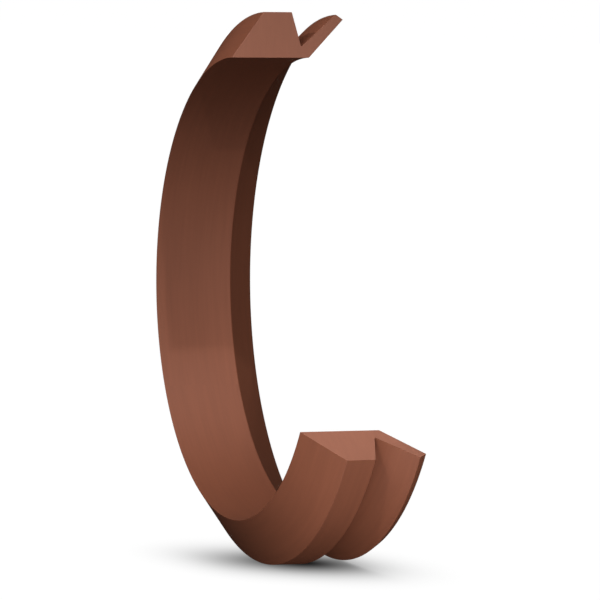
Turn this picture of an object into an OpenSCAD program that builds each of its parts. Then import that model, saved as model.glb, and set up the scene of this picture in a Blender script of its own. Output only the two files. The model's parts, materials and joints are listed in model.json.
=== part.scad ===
// Tapered-body V-ring as a cut-away sample: a rubber ring whose body grips a shaft and
// whose flexible lip runs against a flat face square to that shaft. One moulded section is
// swept round the axis, and a sector is cut out on two planes through the axis.
// Z is the axis, z = 0 is the face that the lip touches, and the gap is centred on +X.

/* [Ring] */
// Diameter of the bore, free and not stretched on a shaft
bore_d = 50.5; // [30:0.5:120]
// Angle of the sector that is cut out of the ring
cut_angle = 125; // [30:5:200]

/* [Body] */
// Width of the shaft seat, from the back edge to the heel of the lip
seat_w = 9; // [8:0.1:14]
// Height of the body over the bore
section_h = 5; // [4:0.1:6]
// Width of the tapered flank, from the back edge to the land
taper_w = 3.75; // [2:0.05:5]

/* [Notch] */
// Height of the bottom of the notch over the bore
notch_h = 1.2; // [0.8:0.05:1.8]
// Slant of the steep wall of the notch from square to the axis
notch_slant = 16; // [5:1:25]
// Rounding at the bottom of the notch
notch_r = 0.2; // [0.1:0.05:0.4]

/* [Lip] */
// Reach of the lip in front of its heel, along the axis
lip_reach = 4; // [3:0.1:5.5]
// Angle of the inner side of the lip to the axis
lip_angle = 46.5; // [40:0.5:55]
// Thickness of the lip at its heel
lip_root_t = 1.48; // [1.2:0.02:1.9]
// Thickness of the lip at its edge
lip_tip_t = 1; // [0.6:0.05:1.3]
// Slant of the end face of the lip from square to its inner side
lip_tip_slant = 10; // [0:1:20]

/* [Edges] */
// Rounding of the outer moulded edges
edge_r = 0.1; // [0.05:0.01:0.2]
// Rounding where the bore turns into the inner side of the lip
heel_r = 0.2; // [0.1:0.05:0.4]

/* [Hidden] */
bore_r = bore_d / 2;
body_r = bore_r + section_h;
back_z = lip_reach + seat_w;
ROUND_STEPS = 4;

// Directions in the section, which is drawn as radius and height: along the lip towards
// its edge, and through the lip towards the notch
along_lip = [sin(lip_angle), -cos(lip_angle)];
through_lip = [cos(lip_angle), sin(lip_angle)];

// Corners of the section, sharp
back_edge = [bore_r, back_z];
land_back = [body_r, back_z - taper_w];
heel = [bore_r, lip_reach];
heel_to_notch = (notch_h - lip_root_t * through_lip.x) / along_lip.x;
notch_bottom = heel + along_lip * heel_to_notch + through_lip * lip_root_t;
land_front = [body_r, notch_bottom.y + (section_h - notch_h) * tan(notch_slant)];
lip_edge = heel + along_lip * lip_reach / cos(lip_angle);
lip_back = lip_edge + (through_lip - along_lip * tan(lip_tip_slant)) * lip_tip_t;

// Each corner in order, with its rounding: the back edge and the lip's edge are trimmed sharp
CORNERS = [
    [back_edge, 0],
    [land_back, edge_r],
    [land_front, edge_r],
    [notch_bottom, notch_r],
    [lip_back, edge_r],
    [lip_edge, 0],
    [heel, heel_r],
];

function unit(v) = v / norm(v);
function turned(v, angle) =
    [v.x * cos(angle) - v.y * sin(angle), v.x * sin(angle) + v.y * cos(angle)];

// Corner b between its neighbours a and c, as an arc of radius r that touches both sides
function rounded(a, b, c, r) =
    let (to_a = unit(a - b), to_c = unit(c - b), half = acos(to_a * to_c) / 2)
    let (centre = b + unit(to_a + to_c) * r / sin(half))
    let (first = b + to_a * r / tan(half) - centre, sweep = (2 * half - 180) * sign(cross(to_a, to_c)))
    [for (i = [0:ROUND_STEPS]) centre + turned(first, sweep * i / ROUND_STEPS)];

// Outline of the section with its corners rounded
function outline(corners) =
    let (n = len(corners))
    [for (i = [0:n - 1])
        let (before = corners[(i + n - 1) % n][0], here = corners[i], after = corners[(i + 1) % n][0])
        each here[1] == 0 ? [here[0]] : rounded(before, here[0], after, here[1])];

module v_ring() {
    color([0.49, 0.29, 0.22])
    rotate_extrude(angle = 360 - cut_angle, start = cut_angle / 2, $fn = 180)
    polygon(outline(CORNERS));
}

v_ring();
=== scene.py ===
"""Looks of a cut-away rubber V-ring: its mesh, its finishes, the floor, the light and the camera."""
import json
import logging
import math
from dataclasses import dataclass
from enum import Enum

import bmesh
import bpy
from mathutils import Matrix, Vector


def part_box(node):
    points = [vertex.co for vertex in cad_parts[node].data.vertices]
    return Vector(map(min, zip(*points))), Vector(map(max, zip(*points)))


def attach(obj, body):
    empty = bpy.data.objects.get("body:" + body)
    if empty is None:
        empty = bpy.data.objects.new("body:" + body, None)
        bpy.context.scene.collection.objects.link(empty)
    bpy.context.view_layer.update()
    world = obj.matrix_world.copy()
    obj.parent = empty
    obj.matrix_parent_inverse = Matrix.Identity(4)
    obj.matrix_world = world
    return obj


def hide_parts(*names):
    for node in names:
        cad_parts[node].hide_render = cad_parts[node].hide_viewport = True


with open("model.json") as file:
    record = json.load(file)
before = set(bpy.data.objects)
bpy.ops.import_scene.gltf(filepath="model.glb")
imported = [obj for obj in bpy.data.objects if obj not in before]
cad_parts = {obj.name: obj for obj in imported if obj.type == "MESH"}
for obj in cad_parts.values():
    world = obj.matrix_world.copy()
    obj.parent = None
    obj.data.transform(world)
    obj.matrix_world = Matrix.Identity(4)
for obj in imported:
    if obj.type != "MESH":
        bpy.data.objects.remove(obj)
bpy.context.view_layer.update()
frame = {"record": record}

MM = 0.001
NODE = "v_ring"
BODY = "root"
log = logging.getLogger("v_ring")


class FaceKind(Enum):
    """Which finish a face of the ring wears; the value is its material index."""

    MOULDED = 0
    CUT = 1


@dataclass(frozen=True)
class Corner:
    """One corner of the ring's section, in millimetres.

    Attributes:
        radius: distance from the ring's axis.
        height: height over the plane that the lip touches.
        rounding: radius to which the corner is rounded.
    """

    radius: float
    height: float
    rounding: float

    def place(self, azimuth: float) -> Vector:
        """The corner's point in metres, on the half plane at an azimuth in radians."""
        flat = self.radius * MM
        return Vector((flat * math.cos(azimuth), flat * math.sin(azimuth), self.height * MM))


@dataclass(frozen=True)
class RingSection:
    """Section of the ring, in millimetres and degrees.

    Attributes:
        bore_r: radius of the bore.
        body_r: radius of the land, the flat top of the body.
        width: whole width, from the lip's edge to the back edge.
        lip_reach: reach of the lip in front of its heel, along the axis.
        taper_w: width of the tapered flank behind the land.
        notch_h: height of the notch's bottom over the bore.
        notch_slant: slant of the notch's steep wall from square to the axis.
        notch_r: rounding at the notch's bottom.
        lip_angle: angle of the lip's inner side to the axis.
        lip_root_t: thickness of the lip at its heel.
        lip_tip_t: thickness of the lip at its edge.
        lip_tip_slant: slant of the lip's end face from square to its inner side.
        heel_r: rounding where the bore turns into the lip.
        moulded_r: rounding of the moulded outer edges.
        trimmed_r: rounding of the two edges that are trimmed sharp.
    """

    bore_r: float
    body_r: float
    width: float
    lip_reach: float = 4.0
    taper_w: float = 3.75
    notch_h: float = 1.2
    notch_slant: float = 16.0
    notch_r: float = 0.1
    lip_angle: float = 46.5
    lip_root_t: float = 1.48
    lip_tip_t: float = 1.0
    lip_tip_slant: float = 10.0
    heel_r: float = 0.2
    moulded_r: float = 0.1
    trimmed_r: float = 0.03

    def corners(self) -> list[Corner]:
        """The corners in order round the section, starting at the back edge.

        Returns:
            The seven corners with their roundings.
        """
        angle = math.radians(self.lip_angle)
        along = Vector((math.sin(angle), -math.cos(angle)))
        through = Vector((math.cos(angle), math.sin(angle)))
        heel = Vector((self.bore_r, self.lip_reach))
        to_notch = (self.notch_h - self.lip_root_t * through.x) / along.x
        notch = heel + along * to_notch + through * self.lip_root_t
        rise = (self.body_r - notch.x) * math.tan(math.radians(self.notch_slant))
        edge = heel + along * self.lip_reach / math.cos(angle)
        slant = math.tan(math.radians(self.lip_tip_slant))
        lip_back = edge + (through - along * slant) * self.lip_tip_t
        return [
            Corner(self.bore_r, self.width, self.trimmed_r),
            Corner(self.body_r, self.width - self.taper_w, self.moulded_r),
            Corner(self.body_r, notch.y + rise, self.moulded_r),
            Corner(notch.x, notch.y, self.notch_r),
            Corner(lip_back.x, lip_back.y, self.moulded_r),
            Corner(edge.x, edge.y, self.trimmed_r),
            Corner(heel.x, heel.y, self.heel_r),
        ]


class Value:
    """A shader socket that takes part in Python arithmetic: each operator adds its Math node."""

    def __init__(self, graph: "NodeGraph", socket: bpy.types.NodeSocket) -> None:
        """Wraps one output socket of a graph."""
        self.graph = graph
        self.socket = socket

    def math(self, operation: str, *values: "Value | float") -> "Value":
        """One Math node over some values.

        Args:
            operation: the Math node's operation.
            values: its inputs in order, as sockets or numbers.

        Returns:
            The node's result.
        """
        return self.graph.node("ShaderNodeMath", {"operation": operation}, dict(enumerate(values)))

    def __add__(self, other: "Value | float") -> "Value":
        """This plus other."""
        return self.math("ADD", self, other)

    def __radd__(self, other: float) -> "Value":
        """A number plus this."""
        return self.math("ADD", other, self)

    def __sub__(self, other: "Value | float") -> "Value":
        """This minus other."""
        return self.math("SUBTRACT", self, other)

    def __rsub__(self, other: float) -> "Value":
        """A number minus this."""
        return self.math("SUBTRACT", other, self)

    def __mul__(self, other: "Value | float") -> "Value":
        """This times other."""
        return self.math("MULTIPLY", self, other)

    def __rmul__(self, other: float) -> "Value":
        """A number times this."""
        return self.math("MULTIPLY", other, self)

    def __pow__(self, power: "Value | float") -> "Value":
        """This raised to a power."""
        return self.math("POWER", self, power)


class NodeGraph:
    """Node tree of one material or world, filled node by node."""

    def __init__(self, owner: bpy.types.Material | bpy.types.World) -> None:
        """Empties the owner's node tree.

        Args:
            owner: the material or world that the nodes belong to.
        """
        self.owner = owner
        owner.use_nodes = True
        self.tree = owner.node_tree
        self.tree.nodes.clear()

    def node(self, kind: str, settings: dict | None = None, inputs: dict | None = None,
             output: int | str = 0) -> Value:
        """Adds a node.

        Args:
            kind: the node's type.
            settings: its own properties, set before its sockets.
            inputs: socket names or indices to numbers, colours or other values.
            output: name or index of the output socket that is returned.

        Returns:
            The chosen output, for further expressions.
        """
        made = self.tree.nodes.new(kind)
        for name, setting in (settings or {}).items():
            setattr(made, name, setting)
        for name, value in (inputs or {}).items():
            if isinstance(value, Value):
                self.tree.links.new(value.socket, made.inputs[name])
            else:
                made.inputs[name].default_value = value
        return Value(self, made.outputs[output]) if made.outputs else Value(self, None)

    def surface(self, shader: Value) -> bpy.types.Material | bpy.types.World:
        """Ends the tree in a surface.

        Args:
            shader: what the surface shows.

        Returns:
            The tree's owner.
        """
        world = isinstance(self.owner, bpy.types.World)
        end = "ShaderNodeOutputWorld" if world else "ShaderNodeOutputMaterial"
        self.node(end, inputs={"Surface": shader})
        return self.owner

    def parts(self, vector: Value) -> list[Value]:
        """The X, Y and Z of a vector."""
        split = self.node("ShaderNodeSeparateXYZ", inputs={0: vector})
        return [Value(self, output) for output in split.socket.node.outputs]

    def noise(self, vector: Value, scale: float, detail: float = 2.0) -> Value:
        """Noise around 0, from about -0.5 to 0.5.

        Args:
            vector: where it is read.
            scale: cells per metre of the vector.
            detail: number of finer octaves.

        Returns:
            The noise as a value.
        """
        return self.node("ShaderNodeTexNoise", {"noise_dimensions": "3D"},
                         {"Vector": vector, "Scale": scale, "Detail": detail}) - 0.5

    def shaded(self, colour: tuple, factor: Value) -> Value:
        """A colour made lighter or darker by a factor, through Vector Math."""
        return self.node("ShaderNodeVectorMath", {"operation": "SCALE"},
                         {0: colour[:3], "Scale": factor})


@dataclass(frozen=True)
class RubberFinish:
    """Finish of one kind of rubber surface.

    Attributes:
        name: name of the material.
        colour: base colour, linear.
        roughness: mean roughness.
        streak_depth: share by which the turning streaks shift the brightness.
        cloud_depth: share by which soft clouds shift the brightness.
        grain_height: height of the fine grain, in metres.
        streak_height: height of the streaks, in metres.
        radial_streaks: whether the streaks run along the radius instead of round the ring.
    """

    name: str
    colour: tuple[float, float, float]
    roughness: float
    streak_depth: float
    cloud_depth: float
    grain_height: float
    streak_height: float
    radial_streaks: bool = False

    # Cells of noise per metre, the streaks' slow drift round the ring or along a cut's radius, and how
    # far the patterns move the roughness and the brightness.
    STREAKS_PER_M = 2600.0
    STREAK_DRIFT_M = 0.0012
    RADIAL_DRIFT = 0.12
    STREAK_ROUGHNESS = 0.06
    CLOUDS_PER_M = 90.0
    CLOUD_ROUGHNESS = 0.08
    GRAIN_PER_M = 5200.0
    GRAIN_DEPTH = 0.04

    def material(self) -> bpy.types.Material:
        """Builds the material.

        Returns:
            A node material on object coordinates.
        """
        graph = NodeGraph(bpy.data.materials.new(self.name))
        place = graph.node("ShaderNodeTexCoord", output="Object")
        streaks = graph.noise(self.streak_place(graph, place), self.STREAKS_PER_M, 3.0)
        clouds = graph.noise(place, self.CLOUDS_PER_M, 3.0)
        grain = graph.noise(place, self.GRAIN_PER_M, 2.0)
        tone = 1.0 + streaks * self.streak_depth + clouds * self.cloud_depth + grain * self.GRAIN_DEPTH
        height = grain * self.grain_height + streaks * self.streak_height
        bump = graph.node("ShaderNodeBump", inputs={"Height": height, "Strength": 1.0, "Distance": 1.0},
                          output="Normal")
        rough = self.roughness + clouds * self.CLOUD_ROUGHNESS + streaks * self.STREAK_ROUGHNESS
        shader = graph.node("ShaderNodeBsdfPrincipled", inputs={
            "Base Color": graph.shaded(self.colour, tone),
            "Roughness": rough,
            "IOR": 1.5,
            "Normal": bump,
        })
        return graph.surface(shader)

    def streak_place(self, graph: NodeGraph, place: Value) -> Value:
        """Where the streaks are read: radius and height, with a slow drift round the ring.

        Args:
            graph: the material's graph.
            place: object coordinates.

        Returns:
            A vector whose noise is drawn out round the ring, or along the radius on a cut.
        """
        x, y, z = graph.parts(place)
        radius = (x * x + y * y) ** 0.5
        turn = x.math("ARCTAN2", y, x) * self.STREAK_DRIFT_M
        if self.radial_streaks:
            across, along = z, radius * self.RADIAL_DRIFT
        else:
            across, along = radius, z
        return graph.node("ShaderNodeCombineXYZ", inputs={"X": across, "Y": along, "Z": turn})


MOULDED_RUBBER = RubberFinish("moulded_rubber", (0.260, 0.083, 0.042), roughness=0.55, streak_depth=0.24,
                              cloud_depth=0.12, grain_height=0.000004, streak_height=0.000004)
CUT_RUBBER = RubberFinish("cut_rubber", (0.472, 0.182, 0.112), roughness=0.55, streak_depth=0.14,
                          cloud_depth=0.12, grain_height=0.000006, streak_height=0.000003,
                          radial_streaks=True)


@dataclass
class VRing:
    """The rubber ring: its section, rounded and swept round the axis, with two cut ends.

    Attributes:
        section: the section that is swept.
        gap_deg: angle of the sector that is cut out, centred on +X.
        steps: steps of the sweep.
        corner_segments: segments of each rounded corner.
        cut_edge_r: rounding of the edges round the cut faces, mm; less than the section's trimmed_r.
        cut_edge_segments: segments of that rounding.
    """

    section: RingSection
    gap_deg: float = 125.0
    steps: int = 235
    corner_segments: int = 6
    cut_edge_r: float = 0.02
    cut_edge_segments: int = 3

    def build(self) -> bpy.types.Object:
        """Builds the ring's mesh and its object.

        Returns:
            The finished piece, at the origin.
        """
        shape = bmesh.new()
        self.sweep(shape, self.section_face(shape))
        bmesh.ops.recalc_face_normals(shape, faces=shape.faces)
        self.round_cut_edges(shape)
        for face in shape.faces:
            face.smooth = True
        mesh = bpy.data.meshes.new("rubber_ring")
        shape.to_mesh(mesh)
        shape.free()
        ring = bpy.data.objects.new("rubber_ring", mesh)
        bpy.context.scene.collection.objects.link(ring)
        shading = ring.modifiers.new("flat_sides_stay_flat", "WEIGHTED_NORMAL")
        shading.keep_sharp = True
        return ring

    def section_face(self, shape: bmesh.types.BMesh) -> bmesh.types.BMFace:
        """Draws the section as one face on the first cut plane, with rounded corners.

        Args:
            shape: the mesh that is being made.

        Returns:
            The section's face.
        """
        start = math.radians(self.gap_deg / 2)
        corners = self.section.corners()
        points = [shape.verts.new(corner.place(start)) for corner in corners]
        shape.faces.new(points)
        for i, (point, corner) in enumerate(zip(points, corners)):
            before = corners[i - 1].place(start) - point.co
            after = corners[(i + 1) % len(corners)].place(start) - point.co
            offset = corner.rounding * MM / math.tan(before.angle(after) / 2)
            bmesh.ops.bevel(shape, geom=[point], affect="VERTICES", offset=offset, offset_type="OFFSET",
                            segments=self.corner_segments, profile=0.5, material=-1)
        shape.faces.ensure_lookup_table()
        return shape.faces[0]

    def sweep(self, shape: bmesh.types.BMesh, face: bmesh.types.BMFace) -> None:
        """Sweeps the section from the first cut plane to the second.

        Args:
            shape: the mesh that is being made.
            face: the section's face on the first cut plane.
        """
        geometry = [face, *face.edges, *face.verts]
        bmesh.ops.spin(shape, geom=geometry, cent=(0, 0, 0), axis=(0, 0, 1),
                       angle=math.radians(360 - self.gap_deg), steps=self.steps)

    def round_cut_edges(self, shape: bmesh.types.BMesh) -> None:
        """Marks the two end faces as cut and breaks their edges.

        Args:
            shape: the mesh that is being made; its end faces are the only ones with many corners.
        """
        ends = [face for face in shape.faces if len(face.verts) > 4]
        for face in ends:
            face.material_index = FaceKind.CUT.value
        edges = list({edge for face in ends for edge in face.edges})
        bmesh.ops.bevel(shape, geom=edges, affect="EDGES", offset=self.cut_edge_r * MM,
                        offset_type="OFFSET", segments=self.cut_edge_segments, profile=0.5, material=-1)

    @staticmethod
    def dress(ring: bpy.types.Object) -> None:
        """Gives the ring its finishes, hangs it on the body's empty and hides the CAD part that it
        stands in for.

        Args:
            ring: the finished piece.
        """
        finishes = {FaceKind.MOULDED: MOULDED_RUBBER, FaceKind.CUT: CUT_RUBBER}
        for kind in FaceKind:
            ring.data.materials.append(finishes[kind].material())
        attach(ring, BODY)
        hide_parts(NODE)


@dataclass(frozen=True)
class PhotoCamera:
    """The camera, placed round a point near the ring's middle.

    Attributes:
        target: point on the camera's axis, mm.
        azimuth: direction from the target to the camera, degrees from +X.
        elevation: height of the camera over the target, degrees.
        roll: turn of the picture, degrees.
        distance: from the target to the camera, mm.
        lens: focal length for a 36 mm sensor, mm.
    """

    target: tuple[float, float, float] = (1.813, -2.317, 6.100)
    azimuth: float = -25.37
    elevation: float = 20.85
    roll: float = 90.82
    distance: float = 554.6
    lens: float = 304.58

    def axes(self) -> Matrix:
        """The camera's directions.

        Returns:
            A matrix whose columns are its right, its up and its back.
        """
        azimuth = math.radians(self.azimuth)
        elevation = math.radians(self.elevation)
        roll = math.radians(self.roll)
        back = Vector((math.cos(elevation) * math.cos(azimuth), math.cos(elevation) * math.sin(azimuth),
                       math.sin(elevation)))
        level = Vector((-math.sin(azimuth), math.cos(azimuth), 0))
        upright = back.cross(level)
        up = upright * math.cos(roll) + level * math.sin(roll)
        return Matrix((up.cross(back), up, back)).transposed()

    def toward(self, right: float, up: float, back: float) -> Vector:
        """A direction given along the picture's right and up and towards the camera."""
        return (self.axes() @ Vector((right, up, back))).normalized()

    def build(self) -> bpy.types.Object:
        """Makes the camera and sets it as the scene's.

        Returns:
            The camera object.
        """
        data = bpy.data.cameras.new("camera")
        data.lens = self.lens
        data.sensor_width = 36.0
        data.clip_start = 0.01
        data.clip_end = 50.0
        camera = bpy.data.objects.new("camera", data)
        place = Vector(self.target) * MM + self.toward(0, 0, 1) * self.distance * MM
        camera.matrix_world = Matrix.Translation(place) @ self.axes().to_4x4()
        bpy.context.scene.collection.objects.link(camera)
        bpy.context.scene.camera = camera
        return camera


@dataclass(frozen=True)
class Lamp:
    """A lamp of the studio.

    Attributes:
        name: name of the lamp.
        direction: where it stands, as the picture's right, up and towards the camera.
        brightness: how bright it makes white paper that faces it, where 1 is white.
        distance: from the point that it aims at, metres.
    """

    name: str
    direction: tuple[float, float, float]
    brightness: float
    distance: float = 0.8

    def data(self) -> bpy.types.Light:
        """The lamp's data, which each kind of lamp makes for itself."""
        raise NotImplementedError

    def aim(self) -> Vector:
        """The point that the lamp aims at, in metres."""
        return Vector((0, 0, 0))

    def build(self, camera: PhotoCamera) -> bpy.types.Object:
        """Makes the lamp, facing the ring.

        Args:
            camera: the camera whose axes the direction is given in.

        Returns:
            The lamp object.
        """
        lamp = bpy.data.objects.new(self.name, self.data())
        back = camera.toward(*self.direction)
        turn = back.to_track_quat("Z", "Y").to_matrix().to_4x4()
        lamp.matrix_world = Matrix.Translation(self.aim() + back * self.distance) @ turn
        lamp.visible_camera = False
        bpy.context.scene.collection.objects.link(lamp)
        return lamp


@dataclass(frozen=True)
class SoftBox(Lamp):
    """A round soft lamp that lights the whole ring.

    Attributes:
        half_angle: half of the angle that it fills as seen from the ring, degrees.
        glossy: whether the ring's sheen shows it.
    """

    half_angle: float = 12.0
    glossy: bool = True

    def data(self) -> bpy.types.Light:
        """A disc that gives the brightness at the ring.

        Returns:
            The lamp's data.
        """
        radius = self.distance * math.tan(math.radians(self.half_angle))
        data = bpy.data.lights.new(self.name, "AREA")
        data.shape = "DISK"
        data.size = 2 * radius
        data.energy = self.brightness * (math.pi * self.distance) ** 2
        return data

    def build(self, camera: PhotoCamera) -> bpy.types.Object:
        """Makes the lamp, and hides it from the sheen if it isn't glossy.

        Args:
            camera: the camera whose axes the direction is given in.

        Returns:
            The lamp object.
        """
        lamp = super().build(camera)
        lamp.visible_glossy = self.glossy
        return lamp


@dataclass(frozen=True)
class Spot(Lamp):
    """A lamp with a soft-edged beam that lights one part of the ring.

    Attributes:
        aim_mm: point on the middle of the beam, in the ring's frame, mm.
        beam_r: radius of the beam at that point, mm.
        lamp_r: radius of the lamp itself, metres.
    """

    aim_mm: tuple[float, float, float] = (0.0, 0.0, 6.5)
    beam_r: float = 30.0
    lamp_r: float = 0.005

    def aim(self) -> Vector:
        """The point on the middle of the beam."""
        return Vector(self.aim_mm) * MM

    def data(self) -> bpy.types.Light:
        """A spot whose beam fades from its middle to its edge.

        Returns:
            The lamp's data.
        """
        data = bpy.data.lights.new(self.name, "SPOT")
        data.spot_size = 2 * math.atan(self.beam_r * MM / self.distance)
        data.spot_blend = 1.0
        data.shadow_soft_size = self.lamp_r
        data.energy = self.brightness * 4 * (math.pi * self.distance) ** 2
        return data


# Each lamp is named after where it stands or what it lights.
LAMPS = (
    SoftBox("key", (-0.35, 0.59, 0.73), 0.312, half_angle=14.0),
    SoftBox("left_near", (-0.63, 0.54, 0.56), 0.073, distance=0.082, half_angle=14.0),
    SoftBox("top_near", (0.25, 0.95, 0.20), 0.085, distance=0.129, half_angle=14.0),
    SoftBox("low_near", (-0.18, -0.69, 0.70), 0.069, distance=0.060, half_angle=14.0),
    SoftBox("back_fill", (0.0, 0.0, -1.0), 0.38, half_angle=14.0, glossy=False),
    Spot("top_end", (-0.75, 0.58, 0.30), 0.215, aim_mm=(11.4, 25.6, 9.0), beam_r=16.0),
    Spot("bore_middle", (0.10, 0.42, 0.90), 0.105, aim_mm=(-1.9, 10.6, 14.5), beam_r=28.0),
    Spot("bore_front", (0.11, -0.20, 0.97), 0.180, aim_mm=(-5.5, -2.3, 18.4), beam_r=28.0),
    Spot("bore_low", (0.19, 0.79, 0.59), 0.230, aim_mm=(-7.7, 14.9, 21.8), beam_r=28.5,
         lamp_r=0.014),
    Spot("near_end_top", (-0.24, 0.37, 0.90), 0.311, aim_mm=(-3.5, -16.2, 12.3), beam_r=29.2),
    Spot("near_end_low", (-0.10, -0.47, 0.88), 0.339, aim_mm=(-3.5, -16.1, -19.3), beam_r=28.0),
    Spot("near_end_wide", (0.05, -0.12, 0.99), 0.373, aim_mm=(8.2, -5.7, -24.3), beam_r=45.5),
)
WORLD_RADIANCE = 0.128
# The world's light fades in between these cosines of the angle to the camera's direction.
WORLD_FADE = (-0.5, 0.3)
WHITE = (1.0, 1.0, 1.0, 1.0)


@dataclass(frozen=True)
class Floor:
    """The pale floor that the rim of the standing ring touches.

    Attributes:
        rim_r: radius of the ring's rim, mm.
        facing: direction that the floor faces, degrees from +X.
        own_light: share of white that the floor gives off by itself.
        shadow_middle: the shadow's middle, across the ring from where it touches and along its axis, mm.
        shadow_half: distances at which the shadow falls to half, across and along, mm.
        shadow_turn: turn of the shadow on the floor, degrees.
        gap_reach: reach of the gaps under the ring that the shadow fills, mm.
        side: side of the square floor, metres.
    """

    rim_r: float
    facing: float = 57.0
    own_light: float = 0.95
    shadow_middle: tuple[float, float] = (-2.0, 4.9)
    shadow_half: tuple[float, float] = (6.1, 9.3)
    shadow_turn: float = -33.5
    gap_reach: float = 16.0
    side: float = 6.0

    # The paint, the strength of its own light, and how sharply the shadow gathers in the narrowest gaps.
    PALE = (0.9, 0.9, 0.9, 1.0)
    GLOW = 1.05
    GAP_CONTRAST = 7.0

    def finish(self) -> bpy.types.Material:
        """A pale paint with light of its own, and a painted shadow that darkens that light in the gaps
        close under the ring.

        Returns:
            The material; the back of a sheet that wears it can be looked through.
        """
        graph = NodeGraph(bpy.data.materials.new("floor"))
        place = graph.node("ShaderNodeMapping", {"vector_type": "TEXTURE"}, {
            "Vector": graph.node("ShaderNodeTexCoord", output="Object"),
            "Location": [length * MM for length in (*self.shadow_middle, 0.0)],
            "Rotation": (0.0, 0.0, math.radians(self.shadow_turn)),
            "Scale": [length * MM for length in (*self.shadow_half, 1.0)],
        })
        away = graph.node("ShaderNodeVectorMath", {"operation": "LENGTH"}, {0: place}, output="Value")
        near = away.math("POWER", 0.5, away * away)
        openness = graph.node("ShaderNodeAmbientOcclusion", {"samples": 32},
                              {"Distance": self.gap_reach * MM}, output="AO")
        pale = graph.node("ShaderNodeBsdfDiffuse", inputs={"Color": self.PALE})
        # Painted shadow: the floor's own light is darkened by ambient occlusion and by a soft blob round
        # where the ring touches.
        shadow = (1.0 - openness ** self.GAP_CONTRAST) * near
        glow = graph.node("ShaderNodeEmission", inputs={"Color": 1.0 - shadow, "Strength": self.GLOW})
        front = graph.node("ShaderNodeMixShader", inputs={0: self.own_light, 1: pale, 2: glow})
        clear = graph.node("ShaderNodeBsdfTransparent")
        behind = graph.node("ShaderNodeNewGeometry", output="Backfacing")
        return graph.surface(graph.node("ShaderNodeMixShader", inputs={0: behind, 1: front, 2: clear}))

    def build(self) -> bpy.types.Object:
        """Lays the floor against the rim.

        Returns:
            The square sheet.
        """
        shape = bmesh.new()
        bmesh.ops.create_grid(shape, x_segments=1, y_segments=1, size=self.side / 2)
        mesh = bpy.data.meshes.new("floor")
        shape.to_mesh(mesh)
        shape.free()
        mesh.materials.append(self.finish())
        sheet = bpy.data.objects.new("floor", mesh)
        azimuth = math.radians(self.facing)
        normal = Vector((math.cos(azimuth), math.sin(azimuth), 0))
        turn = normal.to_track_quat("Z", "Y").to_matrix().to_4x4()
        sheet.matrix_world = Matrix.Translation(-normal * self.rim_r * MM) @ turn
        bpy.context.scene.collection.objects.link(sheet)
        sheet.visible_diffuse = False
        sheet.visible_glossy = False
        sheet.visible_shadow = False
        return sheet


def ring_from_frame() -> VRing:
    """Takes the ring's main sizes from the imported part.

    Returns:
        The ring's maker.
    """
    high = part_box(NODE)[1]
    seat = next(m for m in frame["record"]["mounts"] if m["name"] == "shaft_seat")
    section = RingSection(bore_r=seat["dims"]["r_mm"], body_r=high.y / MM, width=high.z / MM)
    return VRing(section)


def light_world(radiance: float, front: Vector) -> None:
    """Fills the scene with a soft light from the front, and shows the camera a white background.

    Args:
        radiance: how bright the light is in front of the ring, where 1 is white.
        front: direction from the ring to the camera; the light fades out behind the ring.
    """
    graph = NodeGraph(bpy.data.worlds.new("world"))
    direction = graph.node("ShaderNodeTexCoord", output="Generated")
    toward = graph.node("ShaderNodeVectorMath", {"operation": "DOT_PRODUCT"},
                        {0: direction, 1: front}, output="Value")
    ahead = graph.node("ShaderNodeMapRange", {"interpolation_type": "SMOOTHSTEP"},
                       {"Value": toward, "From Min": WORLD_FADE[0], "From Max": WORLD_FADE[1]})
    dark, light, white = (
        graph.node("ShaderNodeBackground", inputs={"Color": WHITE, "Strength": strength})
        for strength in (0.0, radiance, 1.0)
    )
    soft = graph.node("ShaderNodeMixShader", inputs={0: ahead, 1: dark, 2: light})
    seen = graph.node("ShaderNodeLightPath", output="Is Camera Ray")
    bpy.context.scene.world = graph.surface(
        graph.node("ShaderNodeMixShader", inputs={0: seen, 1: soft, 2: white}))


def main() -> None:
    """Builds the ring, the floor, the light and the camera."""
    logging.basicConfig(level=logging.INFO, format="%(name)s: %(message)s")
    maker = ring_from_frame()
    ring = maker.build()
    maker.dress(ring)
    log.info("%s has %d faces", ring.name, len(ring.data.polygons))
    camera = PhotoCamera()
    camera.build()
    Floor(rim_r=maker.section.body_r).build()
    for lamp in LAMPS:
        lamp.build(camera)
    light_world(WORLD_RADIANCE, camera.toward(0, 0, 1))
    bpy.context.scene.view_settings.view_transform = "Standard"


if __name__ == "__main__":
    main()
